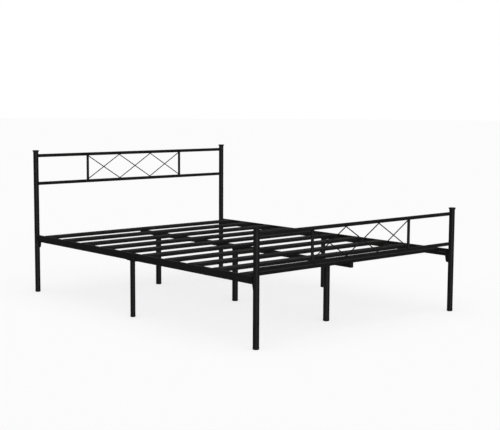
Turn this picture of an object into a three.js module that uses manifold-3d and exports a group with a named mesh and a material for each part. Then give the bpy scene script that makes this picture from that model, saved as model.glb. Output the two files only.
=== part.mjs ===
// A knock-down steel bed frame: lattice head and foot panels, bolted side rails, a centre rail
// on legs of its own, and pressed steel slats.
// Millimetres. +Z is up, +X across the bed and +Y towards the head. The origin is on the floor,
// under the middle of the bed.
import * as THREE from "three";
import { mergeVertices } from "three/addons/utils/BufferGeometryUtils.js";
import Module from "manifold-3d";

const wasm = await Module();
wasm.setup();

// Overall sizes
const postSpacingX = 1500; // between the axes of the left and the right posts
const postSpacingY = 2066; // between the axes of the head and the foot posts
const headHeight = 890; // floor to the top of the head posts' caps
const footHeight = 601; // floor to the top of the foot posts' caps
const slatTop = 360; // floor to the face that the mattress lies on

// Clearances
const gap = 0.3; // between two pieces that touch
const railEndGap = 1.5; // between a side rail's end and the post it is bolted beside
const slatEndGap = 1.5; // between a slat's end and the side rail
const boltHoleGap = 0.4; // all round a bolt in its hole

// Posts, with their caps and glides
const postDiameter = 32;
const postWall = 1.5;
const capHeight = 13; // of the flared part above the tube
const capOverhang = 3.8; // of the flare beyond the post, all round
const capLip = 6.5; // height of the flare's straight rim
const capEdge = 1; // bevel round the cap's flat top
const plugDepth = 24; // how far a cap or a glide goes into its tube
const plugWall = 2.5;
const glideHeight = 11; // of the part below the tube
const glideOverhang = 0.6;
const glideEdge = 6; // radius of the glide's lower edge

// Head and foot panels
const topRailDrop = 34; // top of a post's cap to the axis of the top rail
const panelRailSpacing = 173.5; // between the axes of a panel's two rails
const panelRailDiameter = 20;
const panelRailWall = 1.2;
const uprightSpacing = 742; // between the axes of a panel's two uprights
const uprightDiameter = 16;
const uprightWall = 1.2;
const wireDiameter = 6;
const wireBend = 7; // radius of the bends, on the wire's own middle line
const latticeCells = 3; // crossings between the two uprights

// Side rails, with the brackets on the posts and the sleeve inside the middle joint
const sideRailWidth = 20;
const sideRailHeight = 40;
const railWall = 1.5;
const ledgeWidth = 25;
const ledgeThickness = 3;
const bracketThickness = 3;
const bracketReach = 37; // from the post's axis
const bracketDrop = 36; // below the side rail
const bracketTopStep = 2; // below the top of the side rail
const bracketLean = 6; // how far its free edge leans in below the side rail
const bracketCorner = 5; // cut off its lower corner
const bracketBoltSpacing = 24; // between the two bolts, one above the other
const sleeveLength = 170;
const sleeveBoltSpacing = 130; // between the sleeve's own two bolts

// Centre rail
const centreRailSize = 25; // of the square tube
const centreRailSetback = 74; // from a post's axis to the end of the centre rail's cap
const railCapFlange = 3;
const railCapOverhang = 1;
const railCapRim = 1; // bevel round both edges of the flange

// Legs
const sideLegDiameter = 28;
const centreLegDiameter = 35;
const legWall = 1.5;
const centreLegInset = 187; // from the end of the centre rail's cap to the axis of the outer leg
const saddleThickness = 2.5;
const saddleHeight = 20; // of its walls above the rail's underside
const saddleLength = 80;
const saddleBoltSpacing = 50;
const jointBoltRise = 10; // of the saddles' and the sleeves' bolts above a rail's underside
const weldDepth = 0.5; // how far two solids that are joined run into each other

// Slats
const slatCount = 10;
const slatWidth = 60;
const slatDepth = 15;
const slatWall = 1.5;
const slatInset = 5; // of the outermost slats from the centre rail's ends
const slatScrewInset = 14; // from a slat's end

const boltDiameter = 6;

// How finely round pieces are divided
const tubeSides = 24;
const wireSides = 8;
const holeSides = 8;

const halfX = postSpacingX / 2;
const halfY = postSpacingY / 2;
const postRadius = postDiameter / 2;
const boltHoleRadius = boltDiameter / 2 + boltHoleGap;
const ledgeTop = slatTop - slatDepth - gap;
const sideRailBottom = slatTop - sideRailHeight;
const centreRailTop = ledgeTop;
const centreRailBottom = centreRailTop - centreRailSize;
const centreRailEnd = halfY - centreRailSetback;
const outerLegY = centreRailEnd - centreLegInset;
const slatHalfLength = halfX - sideRailWidth / 2 - slatEndGap;
const slatScrewX = slatHalfLength - slatScrewInset;
const bracketFace = sideRailWidth / 2 - railWall - gap; // from the rail's middle to the bracket's inner face
const bracketBoltY = (postRadius + bracketReach) / 2; // from the post's axis

const steel = new THREE.MeshStandardMaterial({ color: 0x1b1b1c, roughness: 0.42, metalness: 0.1 });
const plastic = new THREE.MeshStandardMaterial({ color: 0x161616, roughness: 0.6, metalness: 0 });

const leftAndRight = [["left", -1], ["right", 1]];
const headAndFoot = [["head", 1], ["foot", -1]];

// ---- solids ----

function solidOf(geometry) {
  const bare = geometry.clone();
  bare.deleteAttribute("normal");
  bare.deleteAttribute("uv");
  const merged = mergeVertices(bare, 1e-3);
  const mesh = new wasm.Mesh({
    numProp: 3,
    vertProperties: merged.attributes.position.array,
    triVerts: new Uint32Array(merged.index.array),
  });
  return new wasm.Manifold(mesh);
}

function geometryOf(solid) {
  const { vertProperties, triVerts } = solid.getMesh();
  const geometry = new THREE.BufferGeometry();
  geometry.setAttribute("position", new THREE.BufferAttribute(vertProperties, 3));
  geometry.setIndex(new THREE.BufferAttribute(triVerts, 1));
  geometry.computeVertexNormals();
  return geometry;
}

function cut(geometry, tools) {
  return geometryOf(tools.reduce((rest, tool) => rest.subtract(solidOf(tool)), solidOf(geometry)));
}

function join(geometry, other) {
  return geometryOf(solidOf(geometry).add(solidOf(other)));
}

// A body of revolution about Z. The profile is [radius, height] pairs, up the outside.
function turned(profile, sides = tubeSides) {
  const points = profile.map(([radius, height]) => new THREE.Vector2(radius, height));
  return new THREE.LatheGeometry(points, sides).rotateX(Math.PI / 2);
}

// A round tube standing on z = 0.
function roundTube(diameter, wall, length) {
  const outer = diameter / 2;
  const bore = outer - wall;
  return turned([[bore, 0], [outer, 0], [outer, length], [bore, length], [bore, 0]]);
}

// A round bar standing on z = 0.
function roundBar(radius, length, sides = tubeSides) {
  return turned([[0, 0], [radius, 0], [radius, length], [0, length]], sides);
}

// A round bar along X, centred on the origin.
function crossBar(radius, length, sides = tubeSides) {
  return roundBar(radius, length, sides).rotateY(Math.PI / 2).translate(-length / 2, 0, 0);
}

// A bolt hole's cutter along X, at a place along and above a rail.
function crossHole(y, z) {
  return crossBar(boltHoleRadius, 4 * sideRailWidth, holeSides).translate(0, y, z);
}

// The cutter for a screw hole along Z.
function screwHole(x, y, z) {
  return roundBar(boltHoleRadius, 4 * slatDepth, holeSides).translate(x, y, z - 2 * slatDepth);
}

function rectangle(path, left, bottom, right, top) {
  path.moveTo(left, bottom).lineTo(right, bottom).lineTo(right, top).lineTo(left, top);
  path.closePath();
  return path;
}

// A section drawn in X and Z, drawn out along +Y.
function drawnAlongY(shape, length) {
  const geometry = new THREE.ExtrudeGeometry(shape, { depth: length, bevelEnabled: false });
  return geometry.rotateX(Math.PI / 2).translate(0, length, 0);
}

// An outline drawn in Y and Z, as a plate of some thickness along +X.
function plateAlongX(shape, thickness) {
  const geometry = new THREE.ExtrudeGeometry(shape, { depth: thickness, bevelEnabled: false });
  return geometry.rotateX(Math.PI / 2).rotateZ(Math.PI / 2);
}

// A rectangular tube along +Y, with its underside at z = 0 and its middle at x = 0.
function boxTube(width, height, wall, length) {
  const section = rectangle(new THREE.Shape(), -width / 2, 0, width / 2, height);
  section.holes.push(rectangle(new THREE.Path(), -width / 2 + wall, wall, width / 2 - wall, height - wall));
  return drawnAlongY(section, length);
}

function piece(name, geometry, material, x = 0, y = 0, z = 0) {
  const mesh = new THREE.Mesh(geometry, material);
  mesh.name = name;
  mesh.position.set(x, y, z);
  return mesh;
}

// ---- plastic caps and glides ----

// The hollow plug of a cap or a glide, as profile points from its mouth to its root.
function plugRadii(diameter, wall) {
  const outer = diameter / 2 - wall - gap;
  return { outer, inner: outer - plugWall };
}

// A cap whose underside is at z = 0: its plug hangs in the tube, and its flare stands above it.
function postCap() {
  const { outer, inner } = plugRadii(postDiameter, postWall);
  const rim = postRadius + capOverhang;
  const flareTop = capHeight - capLip;
  const flare = [0, 0.5, 1].map((t) => [postRadius + capOverhang * t * t, gap + (flareTop - gap) * t]);
  return turned([
    [0, gap],
    [inner, gap],
    [inner, -plugDepth],
    [outer, -plugDepth],
    [outer, gap],
    ...flare,
    [rim, capHeight - capEdge],
    [rim - capEdge, capHeight],
    [0, capHeight],
  ]);
}

// A glide that stands on z = 0, with its plug going up into the tube.
function glide(diameter, wall) {
  const { outer, inner } = plugRadii(diameter, wall);
  const foot = diameter / 2 + glideOverhang;
  const edge = [0, 0.5, 1].map((t) => {
    const angle = (t * Math.PI) / 2;
    return [foot - glideEdge + glideEdge * Math.sin(angle), glideEdge - glideEdge * Math.cos(angle)];
  });
  const shoulder = glideHeight - gap;
  return turned([
    [0, 0],
    ...edge,
    [foot, shoulder],
    [outer, shoulder],
    [outer, glideHeight + plugDepth],
    [inner, glideHeight + plugDepth],
    [inner, shoulder],
    [0, shoulder],
  ]);
}

// ---- head and foot panels ----

// A tube between the two posts, with its ends shaped to them.
function panelRail() {
  const tube = roundTube(panelRailDiameter, panelRailWall, postSpacingX);
  const posts = leftAndRight.map(([, sign]) => {
    const post = roundBar(postRadius + gap, 2 * panelRailDiameter);
    return post.translate(sign * halfX, 0, -panelRailDiameter);
  });
  return cut(tube.rotateY(Math.PI / 2).translate(-halfX, 0, 0), posts);
}

// The cutters that shape uprights and wires to the two rails, from the lower rail's axis up.
function panelRailCutters() {
  const rail = () => crossBar(panelRailDiameter / 2 + gap, 2 * uprightSpacing);
  return [rail(), rail().translate(0, 0, panelRailSpacing)];
}

function upright() {
  return cut(roundTube(uprightDiameter, uprightWall, panelRailSpacing), panelRailCutters());
}

// A path through points, which an extrusion follows with one step from each point to the next.
class PointPath extends THREE.Curve {
  constructor(points) {
    super();
    this.points = points;
  }
  getPoint(t, target = new THREE.Vector3()) {
    const place = THREE.MathUtils.clamp(t, 0, 1) * (this.points.length - 1);
    const first = Math.min(Math.floor(place), this.points.length - 2);
    return target.lerpVectors(this.points[first], this.points[first + 1], place - first);
  }
  getUtoTmapping(u) {
    return u;
  }
}

// The points of a zigzag whose inner corners are rounded to the wire's bend.
function roundedCorners(corners, radius, steps) {
  const points = [corners[0]];
  for (let i = 1; i < corners.length - 1; i += 1) {
    const corner = corners[i];
    const back = corners[i - 1].clone().sub(corner).normalize();
    const ahead = corners[i + 1].clone().sub(corner).normalize();
    const halfAngle = back.angleTo(ahead) / 2;
    const centre = back.clone().add(ahead).normalize().multiplyScalar(radius / Math.sin(halfAngle));
    const start = back.clone().multiplyScalar(radius / Math.tan(halfAngle)).sub(centre);
    const turn = new THREE.Vector3().crossVectors(back, ahead).normalize();
    const sweep = Math.PI - 2 * halfAngle;
    for (let step = 0; step <= steps; step += 1) {
      const spoke = start.clone().applyAxisAngle(turn, (-sweep * step) / steps);
      points.push(corner.clone().add(centre).add(spoke));
    }
  }
  points.push(corners.at(-1));
  return points;
}

// One bent wire of the lattice. It starts low or high at the left upright, and the second wire
// runs the other way up, just behind the first.
function latticeWire(startsHigh) {
  const low = panelRailDiameter / 2;
  const high = panelRailSpacing - low;
  const corners = Array.from({ length: latticeCells + 1 }, (_, i) => {
    const x = uprightSpacing * (i / latticeCells - 0.5);
    return new THREE.Vector3(x, 0, (i % 2 === 0) === startsHigh ? high : low);
  });
  const path = new PointPath(roundedCorners(corners, wireBend, 4));
  const section = new THREE.Shape().absarc(0, 0, wireDiameter / 2, 0, 2 * Math.PI);
  const wire = new THREE.ExtrudeGeometry(section, {
    extrudePath: path,
    steps: path.points.length - 1,
    curveSegments: wireSides / 2,
  });
  const layer = (wireDiameter + gap) / 2;
  const uprightCutter = () => roundBar(uprightDiameter / 2 + gap, panelRailSpacing);
  return cut(wire.translate(0, startsHigh ? -layer : layer, 0), [
    ...panelRailCutters(),
    ...leftAndRight.map(([, sign]) => uprightCutter().translate((sign * uprightSpacing) / 2, 0, 0)),
  ]);
}

// The plate on a post that a side rail is bolted to, drawn from the post's axis. It goes up into the
// rail's open end, against the inner wall. Below the rail its free edge leans in, and the lower
// corner is cut off.
function railBracket(side, towardsMiddle) {
  const bottom = sideRailBottom - bracketDrop;
  const top = slatTop - bracketTopStep;
  const foot = bracketReach - bracketLean;
  const outline = new THREE.Shape();
  outline.moveTo(0, bottom);
  outline.lineTo(towardsMiddle * (foot - bracketCorner), bottom);
  outline.lineTo(towardsMiddle * foot, bottom + bracketCorner);
  outline.lineTo(towardsMiddle * bracketReach, sideRailBottom);
  outline.lineTo(towardsMiddle * bracketReach, top);
  outline.lineTo(0, top);
  outline.closePath();
  const plate = plateAlongX(outline, bracketThickness);
  const lowX = side < 0 ? bracketFace - bracketThickness : -bracketFace;
  const holes = bracketBoltHeights().map((z) => crossHole(towardsMiddle * bracketBoltY, z));
  const post = roundBar(postRadius + gap, headHeight);
  return cut(plate.translate(lowX, 0, 0), [post, ...holes]);
}

function bracketBoltHeights() {
  const middle = sideRailBottom + sideRailHeight / 2;
  return [middle - bracketBoltSpacing / 2, middle + bracketBoltSpacing / 2];
}

function endPanel(end, height, towardsMiddle) {
  const panel = new THREE.Group();
  const lowerRailZ = height - topRailDrop - panelRailSpacing;
  const tubeTop = height - capHeight;
  for (const [side, sign] of leftAndRight) {
    const x = sign * halfX;
    const tube = roundTube(postDiameter, postWall, tubeTop - glideHeight);
    panel.add(
      piece(`${end}_post_${side}`, tube, steel, x, 0, glideHeight),
      piece(`${end}_post_${side}_cap`, postCap(), plastic, x, 0, tubeTop),
      piece(`${end}_post_${side}_glide`, glide(postDiameter, postWall), plastic, x),
      piece(`${end}_bracket_${side}`, railBracket(sign, towardsMiddle), steel, x),
      piece(`${end}_upright_${side}`, upright(), steel, (sign * uprightSpacing) / 2, 0, lowerRailZ),
    );
  }
  panel.add(
    piece(`${end}_top_rail`, panelRail(), steel, 0, 0, lowerRailZ + panelRailSpacing),
    piece(`${end}_lower_rail`, panelRail(), steel, 0, 0, lowerRailZ),
    piece(`${end}_lattice_wire_front`, latticeWire(true), steel, 0, 0, lowerRailZ),
    piece(`${end}_lattice_wire_back`, latticeWire(false), steel, 0, 0, lowerRailZ),
  );
  return panel;
}

// ---- rails ----

// Where the slats lie along the bed.
function slatPlaces() {
  const first = -centreRailEnd + slatInset + slatWidth / 2;
  return Array.from({ length: slatCount }, (_, i) => first * (1 - (2 * i) / (slatCount - 1)));
}

// Half of a side rail, from the middle joint to its post. The ledge on the inner side carries the
// slats. A slot in the underside lets the post's bracket in.
function sideRail(inward, towardsEnd) {
  const edge = (inward * sideRailWidth) / 2;
  const ledgeEdge = edge + inward * ledgeWidth;
  const ledge = ledgeTop - sideRailBottom;
  const section = new THREE.Shape();
  section.moveTo(-edge, 0);
  section.lineTo(edge, 0);
  section.lineTo(edge, ledge - ledgeThickness);
  section.lineTo(ledgeEdge, ledge - ledgeThickness);
  section.lineTo(ledgeEdge, ledge);
  section.lineTo(edge, ledge);
  section.lineTo(edge, sideRailHeight);
  section.lineTo(-edge, sideRailHeight);
  section.closePath();
  const bore = Math.abs(edge) - railWall;
  section.holes.push(rectangle(new THREE.Path(), -bore, railWall, bore, sideRailHeight - railWall));
  const start = gap / 2;
  const end = halfY - postRadius - railEndGap;
  const bar = drawnAlongY(section, end - start);
  bar.translate(0, towardsEnd > 0 ? start : -end, 0);
  const along = (y, z) => crossHole(towardsEnd * y, z);
  const slotWidth = bracketThickness + 2 * gap;
  const slotLength = bracketReach - postRadius - railEndGap + gap;
  const slot = new THREE.BoxGeometry(slotWidth, 2 * slotLength, 4 * railWall);
  slot.translate(inward * (bore - slotWidth / 2), towardsEnd * end, 0);
  const slatX = -inward * (slatScrewX - halfX);
  const slatHoles = slatPlaces()
    .filter((y) => y * towardsEnd > 0)
    .map((y) => screwHole(slatX, y, ledge));
  return cut(bar, [
    slot,
    along(saddleBoltSpacing / 2, jointBoltRise),
    along(sleeveBoltSpacing / 2, jointBoltRise),
    ...bracketBoltHeights().map((z) => along(halfY - bracketBoltY, z - sideRailBottom)),
    ...slatHoles,
  ]);
}

// The sleeve inside a rail's middle joint, with the holes of the leg's saddle and its own.
function joiningSleeve(width, height) {
  const inset = railWall + gap;
  const sleeve = boxTube(width - 2 * inset, height - 2 * inset, railWall, sleeveLength);
  sleeve.translate(0, -sleeveLength / 2, inset);
  return cut(sleeve, [
    ...[-1, 1].map((sign) => crossHole((sign * saddleBoltSpacing) / 2, jointBoltRise)),
    ...[-1, 1].map((sign) => crossHole((sign * sleeveBoltSpacing) / 2, jointBoltRise)),
  ]);
}

// Half of the centre rail, up to the cap in its free end.
function centreRail(towardsEnd) {
  const start = gap / 2;
  const end = centreRailEnd - railCapFlange - gap;
  const tube = boxTube(centreRailSize, centreRailSize, railWall, end - start);
  tube.translate(0, towardsEnd > 0 ? start : -end, 0);
  const along = (y, z) => crossHole(towardsEnd * y, z);
  return cut(tube, [
    along(saddleBoltSpacing / 2, jointBoltRise),
    along(sleeveBoltSpacing / 2, jointBoltRise),
    ...[-1, 1].map((sign) => along(outerLegY + (sign * saddleBoltSpacing) / 2, jointBoltRise)),
  ]);
}

// The plastic cap in the centre rail's free end: a flange with bevelled edges, and a hollow plug.
function railCap(towardsEnd) {
  const half = centreRailSize / 2 + railCapOverhang - railCapRim;
  const flange = new THREE.ExtrudeGeometry(rectangle(new THREE.Shape(), -half, -half, half, half), {
    depth: railCapFlange - 2 * railCapRim,
    bevelThickness: railCapRim,
    bevelSize: railCapRim,
    bevelSegments: 1,
  });
  flange.rotateX(Math.PI / 2).translate(0, railCapFlange - railCapRim, 0);
  const plugSize = centreRailSize - 2 * (railWall + gap);
  const plug = boxTube(plugSize, plugSize, plugWall, plugDepth);
  plug.translate(0, weldDepth - plugDepth, -plugSize / 2);
  const cap = join(flange, plug).translate(0, centreRailEnd - railCapFlange, 0);
  return towardsEnd > 0 ? cap : cap.rotateZ(Math.PI);
}

// ---- legs and slats ----

// A leg with its saddle welded on top, drawn with the rail's underside at z = 0.
function leg(diameter, railWidth, railBottom) {
  const inner = railWidth / 2 + gap;
  const outer = inner + saddleThickness;
  const section = new THREE.Shape();
  section.moveTo(-outer, -gap - saddleThickness);
  section.lineTo(outer, -gap - saddleThickness);
  section.lineTo(outer, saddleHeight);
  section.lineTo(inner, saddleHeight);
  section.lineTo(inner, -gap);
  section.lineTo(-inner, -gap);
  section.lineTo(-inner, saddleHeight);
  section.lineTo(-outer, saddleHeight);
  section.closePath();
  const saddle = drawnAlongY(section, saddleLength).translate(0, -saddleLength / 2, 0);
  const tubeLength = railBottom - glideHeight - gap - saddleThickness + weldDepth;
  const tube = roundTube(diameter, legWall, tubeLength).translate(0, 0, glideHeight - railBottom);
  const holes = [-1, 1].map((sign) => crossHole((sign * saddleBoltSpacing) / 2, jointBoltRise));
  return cut(join(saddle, tube), holes);
}

// A pressed channel across the bed, open below, with its top at z = 0.
function slat() {
  const half = slatWidth / 2;
  const outline = new THREE.Shape();
  outline.moveTo(-half, -slatDepth);
  outline.lineTo(-half + slatWall, -slatDepth);
  outline.lineTo(-half + slatWall, -slatWall);
  outline.lineTo(half - slatWall, -slatWall);
  outline.lineTo(half - slatWall, -slatDepth);
  outline.lineTo(half, -slatDepth);
  outline.lineTo(half, 0);
  outline.lineTo(-half, 0);
  outline.closePath();
  const channel = plateAlongX(outline, 2 * slatHalfLength).translate(-slatHalfLength, 0, 0);
  return cut(channel, leftAndRight.map(([, sign]) => screwHole(sign * slatScrewX, 0, 0)));
}

// ---- the bed ----

const bed = new THREE.Group();

const headboard = endPanel("head", headHeight, -1);
headboard.position.y = halfY;
const footboard = endPanel("foot", footHeight, 1);
footboard.position.y = -halfY;
bed.add(headboard, footboard);

for (const [side, sign] of leftAndRight) {
  const x = sign * halfX;
  const legName = `side_leg_${side}`;
  const sleeve = joiningSleeve(sideRailWidth, sideRailHeight);
  for (const [end, towardsEnd] of headAndFoot) {
    bed.add(piece(`side_rail_${side}_${end}`, sideRail(-sign, towardsEnd), steel, x, 0, sideRailBottom));
  }
  bed.add(
    piece(`side_rail_sleeve_${side}`, sleeve, steel, x, 0, sideRailBottom),
    piece(legName, leg(sideLegDiameter, sideRailWidth, sideRailBottom), steel, x, 0, sideRailBottom),
    piece(`${legName}_glide`, glide(sideLegDiameter, legWall), plastic, x),
  );
}

for (const [end, towardsEnd] of headAndFoot) {
  const capZ = centreRailBottom + centreRailSize / 2;
  bed.add(
    piece(`centre_rail_${end}`, centreRail(towardsEnd), steel, 0, 0, centreRailBottom),
    piece(`centre_rail_${end}_cap`, railCap(towardsEnd), plastic, 0, 0, capZ),
  );
}
const centreSleeve = joiningSleeve(centreRailSize, centreRailSize);
bed.add(piece("centre_rail_sleeve", centreSleeve, steel, 0, 0, centreRailBottom));

for (const [place, sign] of [...headAndFoot, ["middle", 0]]) {
  const y = sign * outerLegY;
  const legName = `centre_leg_${place}`;
  bed.add(
    piece(legName, leg(centreLegDiameter, centreRailSize, centreRailBottom), steel, 0, y, centreRailBottom),
    piece(`${legName}_glide`, glide(centreLegDiameter, legWall), plastic, 0, y),
  );
}

slatPlaces().forEach((y, i) => {
  bed.add(piece(`slat_${String(i + 1).padStart(2, "0")}`, slat(), steel, 0, y, slatTop));
});

export default bed;
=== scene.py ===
# %% [markdown]
# # A steel bed frame, bolted together
#
# This lesson dresses a finished design. Its solids say where each tube, plate and fitting is,
# and what follows makes each again with the bends, weld beads and coating of a real one.
# Lengths are in metres. X runs across the bed, Y towards the head, and Z up from the floor.

import math
from contextlib import contextmanager
from functools import partial
from types import SimpleNamespace

import bmesh
import bpy
from mathutils import Matrix, Vector


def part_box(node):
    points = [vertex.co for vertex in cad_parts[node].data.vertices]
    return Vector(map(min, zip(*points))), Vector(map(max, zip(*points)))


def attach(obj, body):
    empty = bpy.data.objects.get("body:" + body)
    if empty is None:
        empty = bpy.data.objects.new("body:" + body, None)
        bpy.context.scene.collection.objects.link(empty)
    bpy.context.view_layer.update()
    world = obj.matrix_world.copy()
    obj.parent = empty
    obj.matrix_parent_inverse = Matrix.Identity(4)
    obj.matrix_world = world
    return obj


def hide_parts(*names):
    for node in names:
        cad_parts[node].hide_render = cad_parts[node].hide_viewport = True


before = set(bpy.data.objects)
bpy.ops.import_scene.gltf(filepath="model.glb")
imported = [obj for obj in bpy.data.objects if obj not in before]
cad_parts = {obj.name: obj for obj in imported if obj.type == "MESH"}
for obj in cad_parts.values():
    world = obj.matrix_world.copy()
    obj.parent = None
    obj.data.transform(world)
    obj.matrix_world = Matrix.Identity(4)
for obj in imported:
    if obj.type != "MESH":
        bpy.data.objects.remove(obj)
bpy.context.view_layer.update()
MM = 0.001
SIDES = {"left": -1, "right": 1}
ENDS = {"foot": -1, "head": 1}
print("nodes in the design:", len(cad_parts))

# %% [markdown]
# ## Camera
#
# A bed is long and low, so it is seen from a standing person's chest height, past its foot
# corner, with a longish lens that keeps the posts nearly upright.

# %% Camera
EYE = (-4.170, -4.868, 1.214)
SWING, TIP, LEAN = (math.radians(angle) for angle in (-41.37, 83.84, 0.29))
LENS = 77.45

camera_data = bpy.data.cameras.new("camera")
camera_data.lens = LENS
camera = bpy.data.objects.new("camera", camera_data)
bpy.context.scene.collection.objects.link(camera)
turned_to = Matrix.Rotation(SWING, 4, "Z") @ Matrix.Rotation(TIP, 4, "X")
camera.matrix_world = Matrix.Translation(EYE) @ turned_to @ Matrix.Rotation(LEAN, 4, "Z")
bpy.context.scene.camera = camera
print("camera:", LENS, "mm lens,", EYE[2], "m up")

# %% [markdown]
# ## Helpers
#
# A node tree reads best as a list of nodes, each with its inputs. `add_node` makes one node,
# and `fill` sets or links its inputs. `editing` opens a mesh as a bmesh, where points and faces
# can be shaped, and writes it back.


# %% Helpers
def fill(tree, node, inputs):
    """Inputs is a dict: a socket's name or number to a value or another node's output."""
    for socket, value in inputs.items():
        if isinstance(value, bpy.types.NodeSocket):
            tree.links.new(value, node.inputs[socket])
        else:
            node.inputs[socket].default_value = value


def add_node(tree, kind, inputs=None, output=0, **settings):
    """Makes a node and gives back one of its outputs."""
    node = tree.nodes.new(kind)
    for setting, value in settings.items():
        setattr(node, setting, value)
    fill(tree, node, inputs or {})
    return node.outputs[output]


@contextmanager
def editing(mesh):
    shape = bmesh.new()
    shape.from_mesh(mesh)
    yield shape
    shape.to_mesh(mesh)
    shape.free()


# %% [markdown]
# ## Studio
#
# Black metal shows its shape only by what it reflects, and a white room would turn it grey.
# Here the background is white to the eye, but what the tubes mirror is a dim room with one
# broad, low light in front of the bed, which draws a soft stripe down each post. The floor is a
# light table: it glows, so shadows on it are faint. The lights are suns with very wide discs,
# because a sun lights a floor of any size evenly.

# %% Studio
FLOOR_RADIUS = 60.0
FLOOR_GLOW = 0.7
FLOOR_PAINT = 0.27
ROOM_AS_MIRRORED = 0.055


def add_sun(name, towards, strength, width, mirrored=True):
    """A soft light from far off that shines in a direction. Its width is an angle in degrees."""
    data = bpy.data.lights.new(name, "SUN")
    data.energy = strength
    data.angle = math.radians(width)
    sun = bpy.data.objects.new(name, data)
    bpy.context.scene.collection.objects.link(sun)
    sun.rotation_euler = Vector(towards).to_track_quat("-Z", "Y").to_euler()
    sun.visible_glossy = mirrored


def make_floor():
    mesh = bpy.data.meshes.new("floor")
    with editing(mesh) as shape:
        bmesh.ops.create_circle(shape, cap_ends=True, radius=FLOOR_RADIUS, segments=64)
    paint = bpy.data.materials.new("pale_floor")
    paint.use_nodes = True
    fill(paint.node_tree, paint.node_tree.nodes["Principled BSDF"], {
        "Base Color": (FLOOR_PAINT, FLOOR_PAINT, FLOOR_PAINT, 1),
        "Roughness": 1.0,
        "Specular IOR Level": 0.0,
        "Emission Color": (1, 1, 1, 1),
        "Emission Strength": FLOOR_GLOW,
    })
    mesh.materials.append(paint)
    floor = bpy.data.objects.new("floor", mesh)
    bpy.context.scene.collection.objects.link(floor)
    floor.visible_glossy = False


def make_surroundings():
    world = bpy.data.worlds.new("studio")
    world.use_nodes = True
    tree = world.node_tree
    seen = add_node(tree, "ShaderNodeLightPath", output="Is Camera Ray")
    brightness = add_node(tree, "ShaderNodeMapRange", {0: seen, 3: ROOM_AS_MIRRORED, 4: 1.0})
    fill(tree, tree.nodes["Background"], {"Color": (1, 1, 1, 1), "Strength": brightness})
    bpy.context.scene.world = world


make_floor()
make_surroundings()
add_sun("overhead", (0.25, 0.4, -1.0), 3.1, 110, mirrored=False)
add_sun("front", (0.32, 0.94, -0.25), 0.62, 45)
bpy.context.scene.view_settings.view_transform = "Standard"
print("studio: floor radius", FLOOR_RADIUS, "m")

# %% [markdown]
# ## Finishes
#
# The frame is powder coated. The powder melts into a film that is never quite flat: it has the
# slow ripple called orange peel, a finer grain, and glossier places. Each of those is its own
# noise, because a single even black would look like a cut-out. The plastic is moulded in a
# spark-eroded tool, which leaves a fine, dull texture. The fasteners are black zinc: a metal
# with a thin dark film, rubbed in places.


# %% Finish helpers
def start_finish(name):
    finish = bpy.data.materials.new(name)
    finish.use_nodes = True
    tree = finish.node_tree
    place = add_node(tree, "ShaderNodeTexCoord", output="Object")
    return finish, tree, tree.nodes["Principled BSDF"], place


def noise(tree, place, size, detail=2.0, stretch=(1, 1, 1)):
    """Noise whose lumps are about this size, drawn out along an axis where stretch is over one."""
    inputs = {"Vector": place, "Scale": [1 / s for s in stretch]}
    scaled = add_node(tree, "ShaderNodeMapping", inputs)
    inputs = {"Vector": scaled, "Scale": 1 / size, "Detail": detail}
    return add_node(tree, "ShaderNodeTexNoise", inputs)


def spread(tree, value, low, high, smallest=0.3, largest=0.7):
    """Maps noise, which keeps near its middle, to a range."""
    inputs = {0: value, 1: smallest, 2: largest, 3: low, 4: high}
    return add_node(tree, "ShaderNodeMapRange", inputs)


def blend_colours(tree, share, dark, light):
    inputs = {0: share, 6: dark, 7: light}
    return add_node(tree, "ShaderNodeMix", inputs, output=2, data_type="RGBA")


def add_texture(tree, shader, layers):
    """Bump from several noises. Each layer is (noise, height of its lumps)."""
    so_far = {}
    for height_map, height in layers:
        inputs = {"Height": height_map, "Distance": height, "Strength": 1.0, **so_far}
        so_far = {"Normal": add_node(tree, "ShaderNodeBump", inputs)}
    fill(tree, shader, so_far)


def dust_share(tree, place):
    """How much dust lies here: only on faces that look up, and in patches."""
    normal = add_node(tree, "ShaderNodeNewGeometry", output="Normal")
    up = add_node(tree, "ShaderNodeSeparateXYZ", {0: normal}, output="Z")
    level = spread(tree, up, 0.0, 1.0, smallest=0.75, largest=1.0)
    patches = spread(tree, noise(tree, place, 60 * MM, detail=6.0), 0.02, 0.16)
    return add_node(tree, "ShaderNodeMath", {0: level, 1: patches}, operation="MULTIPLY")


# %% Finishes
BLACK, SOFT_BLACK = (0.0055, 0.0055, 0.0057, 1), (0.0085, 0.0083, 0.0082, 1)
DUST = (0.16, 0.155, 0.15, 1)
MOULDED, MOULDED_LIGHT = (0.0065, 0.0065, 0.0065, 1), (0.0095, 0.0092, 0.009, 1)
ZINC_FILM, ZINC_RUBBED = (0.035, 0.035, 0.038, 1), (0.1, 0.1, 0.105, 1)


def powder_coat(name, dull, glossy, grain, stretch=(1, 1, 1)):
    finish, tree, shader, place = start_finish(name)
    slow = noise(tree, place, 220 * MM, detail=3.0)
    coat = blend_colours(tree, spread(tree, slow, 0, 1), BLACK, SOFT_BLACK)
    dusty = blend_colours(tree, dust_share(tree, place), coat, DUST)
    gloss = spread(tree, noise(tree, place, 34 * MM, detail=4.0), glossy, dull)
    fill(tree, shader, {"Base Color": dusty, "Roughness": gloss, "Specular IOR Level": 0.42})
    peel = noise(tree, place, 2.6 * MM, detail=1.0, stretch=stretch)
    fine = noise(tree, place, grain, detail=2.0)
    add_texture(tree, shader, [(peel, 0.045 * MM), (fine, 0.012 * MM)])
    return finish


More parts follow.
